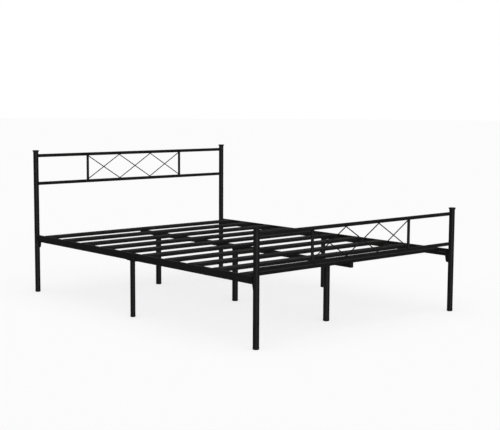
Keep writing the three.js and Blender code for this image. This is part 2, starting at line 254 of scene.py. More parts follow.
def moulded_plastic():
    finish, tree, shader, place = start_finish("moulded_black_plastic")
    slow = noise(tree, place, 25 * MM)
    colour = blend_colours(tree, spread(tree, slow, 0, 1), MOULDED, MOULDED_LIGHT)
    gloss = spread(tree, noise(tree, place, 6 * MM), 0.5, 0.62)
    fill(tree, shader, {"Base Color": colour, "Roughness": gloss, "Specular IOR Level": 0.4})
    spark = noise(tree, place, 0.45 * MM, detail=1.0)
    add_texture(tree, shader, [(spark, 0.03 * MM)])
    return finish


def black_zinc():
    finish, tree, shader, place = start_finish("black_zinc")
    rubbed = spread(tree, noise(tree, place, 4 * MM, detail=5.0), 0, 1, smallest=0.45, largest=0.75)
    colour = blend_colours(tree, rubbed, ZINC_FILM, ZINC_RUBBED)
    gloss = spread(tree, rubbed, 0.46, 0.32, smallest=0, largest=1)
    fill(tree, shader, {"Base Color": colour, "Roughness": gloss, "Metallic": 0.85})
    add_texture(tree, shader, [(noise(tree, place, 0.5 * MM), 0.01 * MM)])
    return finish


coated_tube = powder_coat("black_powder_coat", 0.47, 0.37, 0.6 * MM)
coated_sheet = powder_coat("black_powder_coat_on_sheet", 0.54, 0.44, 0.7 * MM, stretch=(6, 1, 1))
plastic = moulded_plastic()
zinc = black_zinc()
print("finishes:", *(finish.name for finish in (coated_tube, coated_sheet, plastic, zinc)))

# %% [markdown]
# ## From a mesh to a piece
#
# Each finished piece rides on the design's one body, takes one finish as its material, and
# hides the plain solids that it stands for. Round surfaces are shaded smooth and real corners
# are kept sharp.

# %% Pieces
SHARP = math.radians(32)


def shade(mesh):
    """Smooth faces, with the edges of real corners marked sharp."""
    with editing(mesh) as shape:
        for face in shape.faces:
            face.smooth = True
        for edge in shape.edges:
            edge.smooth = not (len(edge.link_faces) == 2 and edge.calc_face_angle() > SHARP)


def add_piece(name, mesh, finish, *stands_for):
    shade(mesh)
    mesh.materials.clear()
    mesh.materials.append(finish)
    piece = bpy.data.objects.new(name, mesh)
    bpy.context.scene.collection.objects.link(piece)
    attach(piece, "root")
    if stands_for:
        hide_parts(*stands_for)
    return piece


def box_of(node):
    """A design solid's box: its lowest and highest corners, middle and size."""
    low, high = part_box(node)
    return SimpleNamespace(low=low, high=high, middle=(low + high) / 2, size=high - low)


# %% [markdown]
# ## Round work
#
# Tubes, caps and glides are all stacks of rings, and `loft` skins any stack of rings. A turned
# part is circles of changing radius, and a tube is an outer and an inner wall. Where a tube is
# welded to another, its end is cut to the other's round, which is called coping: each point of
# the end ring stops where it meets the other tube.

# %% Round work
ROUND = 64
POST_WALL, PANEL_WALL = 1.5 * MM, 1.2 * MM
TUBE_EASE = 0.3 * MM


def mend(shape):
    """Merges doubled points and turns the faces outwards."""
    bmesh.ops.remove_doubles(shape, verts=shape.verts, dist=1e-7)
    bmesh.ops.recalc_face_normals(shape, faces=shape.faces)


def loft(name, rings, loops=False):
    """A skin over rings of equally many points. With loops, the last ring joins the first."""
    mesh = bpy.data.meshes.new(name)
    with editing(mesh) as shape:
        rows = [[shape.verts.new(point) for point in ring] for ring in rings]
        following = rows[1:] + (rows[:1] if loops else [])
        for row, next_row in zip(rows, following):
            for i in range(len(row)):
                shape.faces.new((row[i - 1], row[i], next_row[i], next_row[i - 1]))
        mend(shape)
    return mesh


def angles(count=ROUND):
    return [2 * math.pi * i / count for i in range(count)]


def turned(name, profile, axis):
    """A turned part about an upright axis, from (radius, height) pairs."""
    rings = [
        [(axis.x + r * math.cos(a), axis.y + r * math.sin(a), z) for a in angles()]
        for r, z in profile
    ]
    return loft(name, rings, loops=profile[0][0] > 0)


def arc(centre_r, centre_z, radius, start, end, steps=6):
    """Profile points round a quarter or any arc, in degrees from level, going up."""
    sweep = [math.radians(start + (end - start) * i / steps) for i in range(steps + 1)]
    return [(centre_r + radius * math.cos(a), centre_z + radius * math.sin(a)) for a in sweep]


def join_meshes(name, *meshes):
    joined = bpy.data.meshes.new(name)
    with editing(joined) as shape:
        for mesh in meshes:
            shape.from_mesh(mesh)
    return joined


def straight_tube(name, axis, radius, low, high):
    """An upright tube with its end edges eased."""
    bore, eased = radius - POST_WALL, radius - TUBE_EASE
    profile = [(bore, low), (eased, low), (radius, low + TUBE_EASE)]
    profile += [(radius, high - TUBE_EASE), (eased, high), (bore, high)]
    return turned(name, profile, axis)


def coped_ring(centre, across, inward, radius, seat, turns):
    """Points round a tube where it meets a round member of radius seat, whose axis is in its
    way at centre. Both axes lie in one upright plane, so only Y decides how far it reaches."""
    points = []
    for a in turns:
        y = radius * math.sin(a)
        reach = math.sqrt(seat**2 - y**2)
        sideways = across * radius * math.cos(a) + Vector((0, y, 0))
        points.append(centre + sideways + inward * reach)
    return points


def coped_tube(name, start, end, radius, seat):
    """A tube between the axes of two round members, coped to both."""
    start, end = Vector(start), Vector(end)
    along = (end - start).normalized()
    across = along.cross(Vector((0, 1, 0)))
    rings = []
    for r, centre, inward in (
        (radius, start, along), (radius, end, -along),
        (radius - PANEL_WALL, end, -along), (radius - PANEL_WALL, start, along),
    ):
        rings.append(coped_ring(centre, across, inward, r, seat, angles()))
    return loft(name, rings, loops=True)


# %% [markdown]
# ## Posts, caps and glides
#
# Each corner post is a 32 mm tube. Its cap is one moulding: a hollow plug, and a flare that
# opens like a trumpet's bell to a flat top. The glide under it is a plug too, with a foot a
# little wider than the tube and a rounded lower edge, so that it slides on carpet.

# %% Cap and glide profiles
PLUG_WALL = 2.5 * MM
PLUG_PLAY = 0.3 * MM
FLARE_POWER = 2.2
FLARE_STEPS = 12
CAP_DISH = 0.6 * MM
CAP_LIP = 6.3 * MM
CAP_EDGE = 1 * MM
GLIDE_EDGE = 5.5 * MM
GLIDE_SHOULDER = 0.8 * MM
GLIDE_HOLLOW = 0.4 * MM
GLIDE_OVERHANG = 0.6 * MM


def cap_profile(box, tube_radius, seat):
    """From inside the plug, up its outside, out along the flare, and in over the dished top."""
    plug = tube_radius - POST_WALL - PLUG_PLAY
    rim, top = box.size.x / 2, box.high.z
    flare_height = top - CAP_LIP - seat
    flare = []
    for i in range(1, FLARE_STEPS + 1):
        t = i / FLARE_STEPS
        flare.append((tube_radius + (rim - tube_radius) * t**FLARE_POWER, seat + flare_height * t))
    edge = arc(rim - CAP_EDGE, top - CAP_EDGE, CAP_EDGE, 0, 90)
    dish = [(rim * (1 - t), top - CAP_DISH * (1 - (1 - t) ** 2)) for t in (0.12, 0.3, 0.6, 1.0)]
    hollow = [(0, seat), (plug - PLUG_WALL, seat), (plug - PLUG_WALL, box.low.z), (plug, box.low.z)]
    return hollow + [(plug, seat), (tube_radius, seat)] + flare + edge + dish


def glide_profile(box, tube_radius, seat):
    """From the middle of the underside, out round the lower edge, and up round the plug."""
    plug = tube_radius - POST_WALL - PLUG_PLAY
    foot, top = box.size.x / 2, box.high.z
    under = [(0, GLIDE_HOLLOW), (foot * 0.45, GLIDE_HOLLOW), (foot * 0.5, 0)]
    edge = arc(foot - GLIDE_EDGE, GLIDE_EDGE, GLIDE_EDGE, -90, 0)
    shoulder = arc(foot - GLIDE_SHOULDER, seat - GLIDE_SHOULDER, GLIDE_SHOULDER, 0, 90, steps=3)
    inner = plug - PLUG_WALL
    hollow_plug = [(plug, seat), (plug, top), (inner, top), (inner, seat), (0, seat)]
    return under + edge + shoulder + hollow_plug


# %% Posts, caps and glides
POST_RADIUS = box_of("head_post_left").size.x / 2
for end in ENDS:
    for side in SIDES:
        post = f"{end}_post_{side}"
        box = box_of(post)
        axis, low, high = box.middle, box.low.z, box.high.z
        tube = straight_tube(post, axis, POST_RADIUS, low, high)
        cap = cap_profile(box_of(f"{post}_cap"), POST_RADIUS, high)
        glide = glide_profile(box_of(f"{post}_glide"), POST_RADIUS, low)
        add_piece(f"{post}_tube", tube, coated_tube, post)
        add_piece(f"{post}_flared_cap", turned(post, cap, axis), plastic, f"{post}_cap")
        add_piece(f"{post}_floor_glide", turned(post, glide, axis), plastic, f"{post}_glide")
print("corner posts: radius", POST_RADIUS)

# %% [markdown]
# ## Panel rails and uprights
#
# The head and foot panels are ladders on their side: two thin rails run from post to post, and
# two uprights stand between the rails. All are tubes coped to the members that they join.

# %% Panel rails and uprights
RAIL_RADIUS = box_of("head_top_rail").size.z / 2


def panel_axes(end):
    """Where a panel's posts, rails and uprights have their axes."""
    left, right = (box_of(f"{end}_post_{side}").middle for side in SIDES)
    return SimpleNamespace(
        y=left.y, left=left.x, right=right.x,
        low=box_of(f"{end}_lower_rail").middle.z, high=box_of(f"{end}_top_rail").middle.z,
        uprights=[box_of(f"{end}_upright_{side}").middle.x for side in SIDES],
    )


for end in ENDS:
    panel = panel_axes(end)
    for level, z in (("top", panel.high), ("lower", panel.low)):
        node = f"{end}_{level}_rail"
        start, stop = (panel.left, panel.y, z), (panel.right, panel.y, z)
        rail = coped_tube(node, start, stop, RAIL_RADIUS, POST_RADIUS)
        add_piece(f"{node}_tube", rail, coated_tube, node)
    for side, x in zip(SIDES, panel.uprights):
        node = f"{end}_upright_{side}"
        radius = box_of(node).size.x / 2
        start, stop = (x, panel.y, panel.low), (x, panel.y, panel.high)
        upright = coped_tube(node, start, stop, radius, RAIL_RADIUS)
        add_piece(f"{node}_tube", upright, coated_tube, node)
print("panel rails: radius", RAIL_RADIUS)

# %% [markdown]
# ## Running a node tree
#
# What repeats, and what follows a rule, is made by Geometry Nodes. Each tree is built here with
# named inputs for its sizes. `grow` hangs the tree on a mesh, fills in the inputs, and takes
# the result off as a plain mesh, so that no modifier is left behind.


# %% Running a node tree
def new_tree(name, inputs):
    """A tree with these inputs (name to socket kind) and Finish, and helpers to build in it."""
    tree = bpy.data.node_groups.new(name, "GeometryNodeTree")
    tree.interface.new_socket("Geometry", in_out="OUTPUT", socket_type="NodeSocketGeometry")
    tree.interface.new_socket("Geometry", in_out="INPUT", socket_type="NodeSocketGeometry")
    for label, kind in {**inputs, "Finish": "Material"}.items():
        tree.interface.new_socket(label, in_out="INPUT", socket_type="NodeSocket" + kind)
    given = tree.nodes.new("NodeGroupInput").outputs
    return tree, given, partial(add_node, tree), partial(calculate, tree)


def calculate(tree, operation, *values):
    return add_node(tree, "ShaderNodeMath", dict(enumerate(values)), operation=operation)


def grow(name, tree, seed, values):
    carrier = bpy.data.objects.new(name, seed)
    bpy.context.scene.collection.objects.link(carrier)
    modifier = carrier.modifiers.new("grow", "NODES")
    modifier.node_group = tree
    for socket in tree.interface.items_tree:
        if socket.in_out == "INPUT" and socket.name in values:
            modifier[socket.identifier] = values[socket.name]
    grown = carrier.evaluated_get(bpy.context.evaluated_depsgraph_get())
    mesh = bpy.data.meshes.new_from_object(grown)
    bpy.data.objects.remove(carrier)
    print(f"{name}: {len(mesh.polygons)} faces")
    return mesh


def end_tree(tree, geometry, material):
    """Every tree ends so: instances made real, then the finish."""
    real = add_node(tree, "GeometryNodeRealizeInstances", {"Geometry": geometry})
    inputs = {"Geometry": real, "Material": material}
    painted = add_node(tree, "GeometryNodeSetMaterial", inputs)
    fill(tree, tree.nodes.new("NodeGroupOutput"), {"Geometry": painted})
    return tree


def bent_line(tree, corners, place, bend, steps):
    """Loose corner points put in their places, joined by a line, and rounded."""
    placed = add_node(tree, "GeometryNodeSetPosition", {"Geometry": corners, "Position": place})
    line = add_node(tree, "GeometryNodeMeshToCurve", {"Mesh": placed})
    inputs = {"Curve": line, "Radius": bend, "Count": steps}
    return add_node(tree, "GeometryNodeFilletCurve", inputs, mode="POLY")


def seed_mesh(name, points, edges=(), **attributes):
    """Points and edges. Each attribute gives every point a named number or vector."""
    mesh = bpy.data.meshes.new(name)
    mesh.from_pydata(points, edges, [])
    for label, values in attributes.items():
        if isinstance(values[0], float):
            mesh.attributes.new(label, "FLOAT", "POINT").data.foreach_set("value", values)
        else:
            flat = [number for value in values for number in value]
            mesh.attributes.new(label, "FLOAT_VECTOR", "POINT").data.foreach_set("vector", flat)
    return mesh


# %% [markdown]
# ## The lattice
#
# Between the uprights, two bent wires cross again and again. Each is a zigzag: a row of points,
# every second one raised, with its corners rounded by the bending pin. That is a rule, so a
# short tree makes it. The same tree makes the second wire, which starts low where the first
# starts high, and lies behind it.

# %% Lattice tree
LATTICE_CELLS = 3
WIRE_BEND = 7 * MM
WIRE_OVERLAP = 0.98


def lattice_tree():
    sizes = ("Span", "Low", "High", "Y", "Wire diameter", "Bend radius")
    kinds = {**dict.fromkeys(sizes, "Float"), "Cells": "Int", "Starts high": "Int"}
    tree, given, add, work_out = new_tree("bent_lattice_wire", kinds)
    corners = add("GeometryNodeMeshLine", {"Count": work_out("ADD", given["Cells"], 1.0)})
    index = add("GeometryNodeInputIndex")
    share = work_out("SUBTRACT", work_out("DIVIDE", index, given["Cells"]), 0.5)
    raised = work_out("MODULO", work_out("ADD", index, given["Starts high"]), 2.0)
    rise = work_out("SUBTRACT", given["High"], given["Low"])
    z = work_out("MULTIPLY_ADD", raised, rise, given["Low"])
    x = work_out("MULTIPLY", share, given["Span"])
    place = add("ShaderNodeCombineXYZ", {0: x, 1: given["Y"], 2: z})
    bent = bent_line(tree, corners, place, given["Bend radius"], 12)
    radius = work_out("MULTIPLY", given["Wire diameter"], 0.5)
    section = add("GeometryNodeCurvePrimitiveCircle", {"Resolution": 20, "Radius": radius})
    inputs = {"Curve": bent, "Profile Curve": section, "Fill Caps": True}
    return end_tree(tree, add("GeometryNodeCurveToMesh", inputs), given["Finish"])


# %% The lattice
wires = lattice_tree()
for end in ENDS:
    panel = panel_axes(end)
    for layer, layer_sign, starts_high in (("front", -1, 1), ("back", 1, 0)):
        node = f"{end}_lattice_wire_{layer}"
        wire_diameter = box_of(node).size.y
        values = {
            "Span": panel.uprights[1] - panel.uprights[0],
            "Low": panel.low + RAIL_RADIUS, "High": panel.high - RAIL_RADIUS,
            "Y": panel.y + layer_sign * wire_diameter / 2 * WIRE_OVERLAP, "Cells": LATTICE_CELLS,
            "Starts high": starts_high, "Wire diameter": wire_diameter,
            "Bend radius": WIRE_BEND, "Finish": coated_tube,
        }
        wire = grow(node, wires, bpy.data.meshes.new(node), values)
        add_piece(f"{node}_bent", wire, coated_tube, node)

# %% [markdown]
# ## Flat work
#
# Plates, box tubes and folded strips are all an outline with some thickness. A 2D curve does
# this well: it fills its outline, leaves inner loops open as holes, and eases the edges as it
# extrudes. `rounded` turns a few corner points into an outline with round corners.


# %% Outlines
def rounded(corners, radius, steps=5):
    """An outline with its corners rounded. A corner's third number is its own radius."""
    outline = []
    for i, corner in enumerate(corners):
        own_radius = corner[2] if len(corner) > 2 else radius
        here = Vector(corner[:2])
        back = (Vector(corners[i - 1][:2]) - here).normalized()
        ahead = (Vector(corners[(i + 1) % len(corners)][:2]) - here).normalized()
        half = back.angle(ahead) / 2
        if own_radius <= 0:
            outline.append(here)
            continue
        centre = here + (back + ahead).normalized() * own_radius / math.sin(half)
        start = here + back * own_radius / math.tan(half) - centre
        end = here + ahead * own_radius / math.tan(half) - centre
        sweep = start.angle_signed(end)
        for step in range(steps + 1):
            outline.append(centre + Matrix.Rotation(-sweep * step / steps, 2) @ start)
    return outline


def rectangle(left, bottom, right, top):
    return [(left, bottom), (right, bottom), (right, top), (left, top)]


def hole(y, z, radius):
    return [(y + radius * math.cos(a), z + radius * math.sin(a)) for a in angles(24)]


# %% Extrusion
EDGE_EASE = 0.25 * MM
TURN_TO = {
    "X": Matrix(((0, 0, 1), (1, 0, 0), (0, 1, 0))),
    "Y": Matrix(((1, 0, 0), (0, 0, -1), (0, 1, 0))),
}


def extruded(name, outlines, thickness, axis, middle):
    """Outlines filled and drawn out along an axis, centred on middle. The first outline is the
    rim and the others are holes. They are drawn in Y and Z for X, or in X and Z for Y."""
    curve = bpy.data.curves.new(name, "CURVE")
    curve.dimensions, curve.fill_mode = "2D", "BOTH"
    curve.extrude = thickness / 2 - EDGE_EASE
    curve.bevel_depth, curve.offset = EDGE_EASE, -EDGE_EASE
    curve.bevel_resolution = 1
    for outline in outlines:
        spline = curve.splines.new("POLY")
        spline.points.add(len(outline) - 1)
        spline.use_cyclic_u = True
        for point, (u, v) in zip(spline.points, outline):
            point.co = (u, v, 0, 1)
    carrier = bpy.data.objects.new(name, curve)
    mesh = bpy.data.meshes.new_from_object(carrier)
    bpy.data.objects.remove(carrier)
    mesh.transform(Matrix.Translation(middle) @ TURN_TO[axis].to_4x4())
    with editing(mesh) as shape:
        mend(shape)
    return mesh


# %% [markdown]
# ## Side rails
#
# A side rail is box tube, 20 by 40 mm, with a strip welded along its inner side as a ledge for
# the slats. Box tube is rolled from strip, so its corners are round. Each rail is in two halves
# that meet over the middle leg.

# %% Side rails
RAIL_WIDTH = 20 * MM
RAIL_WALL = 1.5 * MM
RAIL_CORNER = 2.2 * MM
LEDGE_THICKNESS = 3 * MM


def box_section(left, bottom, right, top):
    bore = (left + RAIL_WALL, bottom + RAIL_WALL, right - RAIL_WALL, top - RAIL_WALL)
    outer = rounded(rectangle(left, bottom, right, top), RAIL_CORNER)
    return [outer, rounded(rectangle(*bore), RAIL_CORNER - RAIL_WALL)]


def side_rail(name, box, inward):
    half = RAIL_WIDTH / 2
    axis_x = box.low.x + half if inward > 0 else box.high.x - half
    section = box_section(axis_x - half, box.low.z, axis_x + half, box.high.z)
    centre = Vector((0, box.middle.y, 0))
    tube = extruded(name, section, box.size.y, "Y", centre)
    ledge_top = box_of("slat_01").low.z
    face, rim = axis_x + inward * half, axis_x + inward * (box.size.x - half)
    low_x, high_x = sorted((face - inward * 0.2 * MM, rim))
    strip = rectangle(low_x, ledge_top - LEDGE_THICKNESS, high_x, ledge_top)
    ledge = extruded(name, [rounded(strip, 0.4 * MM, steps=2)], box.size.y, "Y", centre)
    return join_meshes(name, tube, ledge)


for side, sign in SIDES.items():
    for end in ENDS:
        node = f"side_rail_{side}_{end}"
        rail = side_rail(node, box_of(node), -sign)
        add_piece(f"{node}_tube_and_ledge", rail, coated_tube, node)
RAIL_BOX = box_of("side_rail_left_head")
print("side rails:", RAIL_BOX.size * 1000)

# %% [markdown]
# ## Brackets
#
# A plate welded to each post goes up into the side rail's open end and takes its two bolts. It
# reaches below the rail, which gives the weld its length, and there its free edge leans in and
# the corner is cut, so that it doesn't catch a shin.

# %% Brackets
BRACKET_LEAN = 6 * MM
BRACKET_CORNER = 5 * MM
BRACKET_ROUNDING = 2.5 * MM
BRACKET_BOLT_SPACING = 24 * MM
BOLT_DIAMETER = 6 * MM
RAIL_BOTTOM, RAIL_TOP = RAIL_BOX.low.z, RAIL_BOX.high.z
RAIL_MIDDLE = (RAIL_BOTTOM + RAIL_TOP) / 2
BRACKET_BOLT_HEIGHTS = [RAIL_MIDDLE + lift * BRACKET_BOLT_SPACING / 2 for lift in (-1, 1)]


def bracket_bolt_y(end):
    """Half way between the post's skin and the bracket's free edge."""
    box, post = box_of(f"{end}_bracket_left"), panel_axes(end).y
    inward = -ENDS[end]
    free_edge = box.high.y if inward > 0 else box.low.y
    return (post + inward * POST_RADIUS + free_edge) / 2


def bracket(name, box, end):
    inward = -ENDS[end]
    free, root = (box.high.y, box.low.y) if inward > 0 else (box.low.y, box.high.y)
    foot = free - inward * BRACKET_LEAN
    low, high = box.low.z, box.high.z
    outline = rounded([
        (root, low, 0), (foot - inward * BRACKET_CORNER, low), (foot, low + BRACKET_CORNER),
        (free, RAIL_BOTTOM), (free, high), (root, high, 0),
    ], BRACKET_ROUNDING)
    holes = [hole(bracket_bolt_y(end), z, BOLT_DIAMETER / 2) for z in BRACKET_BOLT_HEIGHTS]
    return extruded(name, [outline, *holes], box.size.x, "X", Vector((box.middle.x, 0, 0)))


for end in ENDS:
    for side in SIDES:
        node = f"{end}_bracket_{side}"
        add_piece(f"{node}_plate", bracket(node, box_of(node), end), coated_sheet, node)
print("bracket bolts: heights", BRACKET_BOLT_HEIGHTS)

# %% [markdown]
# ## Centre rail and its end caps
#
# The centre rail is square tube, 25 mm, in two halves. Its ends are free, so each is closed by
# a moulded cap, made as a stack of rounded squares, whose flange swells at the middle.

# %% Centre rail cap
CAP_SWELL = 1.4 * MM
FLANGE_CORNER = 2.4 * MM


def square_ring(half, corner, y, z):
    return [(u, y, z + v) for u, v in rounded(rectangle(-half, -half, half, half), corner)]


def rail_cap(name, box, tube, outward):
    """Rings from inside the plug, out to the flange's rim, and in over its swollen face."""
    z, flange = box.middle.z, box.size.z / 2
    inner_end, outer_end = (box.low.y, box.high.y) if outward > 0 else (box.high.y, box.low.y)
    tube_end = tube.high.y if outward > 0 else tube.low.y
    plug = tube.size.z / 2 - RAIL_WALL - PLUG_PLAY
    bore = plug - PLUG_WALL
    face = outer_end - outward * CAP_SWELL
    rings = [
        (0.1 * MM, 0.05 * MM, tube_end), (bore, 0.5 * MM, tube_end), (bore, 0.5 * MM, inner_end),
        (plug, 1 * MM, inner_end), (plug, 1 * MM, tube_end),
        (flange - 0.5 * MM, 2 * MM, tube_end),
        (flange, FLANGE_CORNER, tube_end + outward * 0.5 * MM),
        (flange, FLANGE_CORNER, face - outward * 0.6 * MM),
        (flange - 0.6 * MM, FLANGE_CORNER, face),
    ]
    for t in (0.75, 0.5, 0.25, 0.01):
        rings.append((flange * t, FLANGE_CORNER * t, face + outward * CAP_SWELL * (1 - t**2)))
    mesh = loft(name, [square_ring(half, corner, y, z) for half, corner, y in rings])
    with editing(mesh) as shape:
        ends = [edge for edge in shape.edges if edge.is_boundary]
        bmesh.ops.holes_fill(shape, edges=ends)
        bmesh.ops.recalc_face_normals(shape, faces=shape.faces)
    return mesh


# %% Centre rail
for end, outward in ENDS.items():
    node = f"centre_rail_{end}"
    box = box_of(node)
    section = box_section(box.low.x, box.low.z, box.high.x, box.high.z)
    tube = extruded(node, section, box.size.y, "Y", Vector((0, box.middle.y, 0)))
    add_piece(f"{node}_tube", tube, coated_tube, node)
    cap = rail_cap(node, box_of(f"{node}_cap"), box, outward)
    add_piece(f"{node}_end_cap", cap, plastic, f"{node}_cap")
CENTRE_RAIL_BOTTOM, CENTRE_RAIL_HALF = box.low.z, box.size.x / 2
print("centre rail: width", box.size.x)

# %% [markdown]
# ## Legs and saddles
#
# Each middle leg carries a saddle: strip folded into a U that holds the rail and straddles the
# joint between its halves. A fold has an inner and an outer radius, one sheet apart.

# %% Legs and saddles
SADDLE_SHEET = 2.5 * MM
SADDLE_LENGTH = 80 * MM
SADDLE_PLAY = 0.3 * MM
SADDLE_BEND = 0.8 * MM
SADDLE_EDGE = 0.6 * MM


def saddle(name, x, y, rail_half, bottom, top):
    """The folded strip under and beside a rail, seen along the bed."""
    inner = rail_half + SADDLE_PLAY
    outer, floor = inner + SADDLE_SHEET, bottom + SADDLE_SHEET
    outer_bend = SADDLE_BEND + SADDLE_SHEET
    corners = [
        (-outer, bottom, outer_bend), (outer, bottom, outer_bend), (outer, top), (inner, top),
        (inner, floor, SADDLE_BEND), (-inner, floor, SADDLE_BEND), (-inner, top), (-outer, top),
    ]
    outline = [(x + u, v) for u, v in rounded(corners, SADDLE_EDGE)]
    return extruded(name, [outline], SADDLE_LENGTH, "Y", Vector((0, y, 0)))


def leg(node, rail_bottom, rail_half):
    box, foot = box_of(node), box_of(f"{node}_glide")
    x, y = box.middle.xy
    radius = foot.size.x / 2 - GLIDE_OVERHANG
    saddle_bottom = rail_bottom - SADDLE_PLAY - SADDLE_SHEET
    tube = straight_tube(node, box.middle, radius, box.low.z, saddle_bottom + 0.5 * MM)
    folded = saddle(node, x, y, rail_half, saddle_bottom, box.high.z)
    add_piece(f"{node}_tube_and_saddle", join_meshes(node, tube, folded), coated_tube, node)
    glide = turned(node, glide_profile(foot, radius, box.low.z), box.middle)
    add_piece(f"{node}_floor_glide", glide, plastic, f"{node}_glide")
    return SimpleNamespace(x=x, y=y, radius=radius, saddle=saddle_bottom, rail_half=rail_half)


legs = [leg(f"side_leg_{side}", RAIL_BOTTOM, RAIL_WIDTH / 2) for side in SIDES]
for place in ("foot", "middle", "head"):
    legs.append(leg(f"centre_leg_{place}", CENTRE_RAIL_BOTTOM, CENTRE_RAIL_HALF))
print("middle legs:", len(legs))

# %% [markdown]
# ## Slats
#
# A slat is a shallow channel folded from sheet, open below. All ten are alike and evenly
# spaced, so a tree makes them: it folds one section, draws it out across the bed, gives the
# sheet its thickness, and sets a copy on each of a row of points.

# %% Slat tree
SLAT_SHEET = 1.5 * MM
SLAT_BEND = 2.4 * MM


def slat_tree():
    sizes = ("Width", "Depth", "Length", "Sheet", "Bend", "First", "Spacing", "Top")
    kinds = {**dict.fromkeys(sizes, "Float"), "Count": "Int"}
    tree, given, add, work_out = new_tree("channel_slats", kinds)
    centred = work_out("SUBTRACT", add("GeometryNodeInputIndex"), 1.5)
    half_width = work_out("MULTIPLY", given["Width"], 0.5)
    y = work_out("MULTIPLY", work_out("SIGN", centred), half_width)
    lowered = work_out("GREATER_THAN", work_out("ABSOLUTE", centred), 1.0)
    z = work_out("MULTIPLY", lowered, work_out("MULTIPLY", given["Depth"], -1.0))
    x = work_out("MULTIPLY", given["Length"], -0.5)
    place = add("ShaderNodeCombineXYZ", {0: x, 1: y, 2: z})
    corners = add("GeometryNodeMeshLine", {"Count": 4})
    edge = add("GeometryNodeCurveToMesh", {"Curve": bent_line(tree, corners, place, given["Bend"], 6)})
    stretch = add("ShaderNodeCombineXYZ", {0: given["Length"]})
    skin = add("GeometryNodeExtrudeMesh", {"Mesh": edge, "Offset": stretch}, mode="EDGES")
    inputs = {"Mesh": skin, "Offset Scale": given["Sheet"], "Individual": False}
    thick = add("GeometryNodeExtrudeMesh", inputs, mode="FACES")
    back = add("GeometryNodeFlipFaces", {"Mesh": skin})
    both = tree.nodes.new("GeometryNodeJoinGeometry")
    for part in (thick, back):
        fill(tree, both, {"Geometry": part})
    sheet = add("GeometryNodeMergeByDistance", {"Geometry": both.outputs[0], "Distance": 1e-6})
    start = add("ShaderNodeCombineXYZ", {1: given["First"], 2: given["Top"]})
    step = add("ShaderNodeCombineXYZ", {1: given["Spacing"]})
    inputs = {"Count": given["Count"], "Start Location": start, "Offset": step}
    row = add("GeometryNodeMeshLine", inputs)
    slats = add("GeometryNodeInstanceOnPoints", {"Points": row, "Instance": sheet})
    return end_tree(tree, slats, given["Finish"])


# %% Slats
slat_nodes = sorted(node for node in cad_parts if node.startswith("slat_"))
slat_boxes = [box_of(node) for node in slat_nodes]
first_slat = slat_boxes[0]
values = {
    "Width": first_slat.size.y, "Depth": first_slat.size.z, "Length": first_slat.size.x,
    "Sheet": SLAT_SHEET, "Bend": SLAT_BEND, "Count": len(slat_nodes), "Finish": coated_sheet,
    "First": first_slat.middle.y, "Spacing": slat_boxes[1].middle.y - first_slat.middle.y,
    "Top": first_slat.high.z,
}
slats = grow("slats", slat_tree(), bpy.data.meshes.new("slats"), values)
add_piece("slats_folded", slats, coated_sheet, *slat_nodes)

# %% [markdown]
# ## Fasteners
#
# Bolts, cap nuts and slat screws hold the frame together. Each kind is modelled once, with few
# faces, standing on z = 0 and facing up. One tree then sets a copy on each of many points.

# %% Fastener helpers
WASHER_RADIUS, WASHER_HEIGHT = 6.2 * MM, 1.2 * MM
FEW = 24


def hexagon(across_flats):
    """Radii of a hexagon at evenly spaced angles."""
    sixth = math.pi / 3
    return [across_flats / 2 / math.cos((a % sixth) - sixth / 2) for a in angles(FEW)]


def ringed(name, rows):
    """A small turned part whose rows may be circles or hexagons: (radius or radii, height)."""
    rings = []
    for radii, z in rows:
        radii = radii if isinstance(radii, list) else [radii] * FEW
        rings.append([(r * math.cos(a), r * math.sin(a), z) for r, a in zip(radii, angles(FEW))])
    return loft(name, rings)


def dome(radius, base, height, steps):
    """Rows of a domed top. Each step is an angle up from its base, in radians."""
    return [(radius * math.cos(t), base + height * math.sin(t)) for t in steps]


def washer():
    rim, top = WASHER_RADIUS, WASHER_HEIGHT
    return [(0, 0), (rim, 0), (rim, top * 0.8), (rim * 0.97, top)]


# %% Fastener shapes
def button_head():
    """A domed head on a washer, with a hexagon socket."""
    socket, base = hexagon(4 * MM), WASHER_HEIGHT
    top = dome(5.25 * MM, base + 0.5 * MM, 3.22 * MM, (0.0, 0.25, 0.5, 0.75, 0.95))
    flat = top[-1][1]
    eased = [r + 0.15 * MM for r in socket]
    recess = [(eased, flat), (socket, flat - 0.2 * MM), (socket, flat - 2 * MM), (0, flat - 2.4 * MM)]
    return ringed("button_head", washer() + [(5.2 * MM, base)] + top + recess)


def cap_nut():
    """A hexagon nut with a domed end, on a washer."""
    flats, base = hexagon(10 * MM), WASHER_HEIGHT
    inset = [min(r, 5.1 * MM) for r in flats]
    rows = [(inset, base), (flats, base + 0.4 * MM), (flats, base + 4.4 * MM), (inset, base + 4.9 * MM)]
    top = dome(4.6 * MM, base + 5 * MM, 4.4 * MM, (0.1, 0.4, 0.8, 1.2, math.pi / 2))
    return ringed("cap_nut", washer() + rows + top)


def pan_head():
    """A low screw head with a cross-shaped dimple, for the slats."""
    rim = 5.6 * MM
    top = dome(rim, 0.7 * MM, 1.6 * MM, (0.0, 0.4, 0.8, 1.15))
    flat = top[-1][1]
    cross = [1.1 * MM + 1.1 * MM * max(0.0, math.cos(4 * a)) for a in angles(FEW)]
    recess = [(cross, flat), ([r * 0.55 for r in cross], flat - 1.1 * MM), (0, flat - 1.3 * MM)]
    return ringed("pan_head", [(0, 0), (rim, 0)] + top + recess)


shapes = {"bolt_heads": button_head(), "cap_nuts": cap_nut(), "slat_screws": pan_head()}
print("faces:", {name: len(mesh.polygons) for name, mesh in shapes.items()})

# %% [markdown]
# The tree turns each copy so that its own Z points along the point's `facing`, and spins it
# about that Z at random, as a spanner leaves it. A fixed seed gives the same spins each time.


# %% Fastener tree
SEED = 7


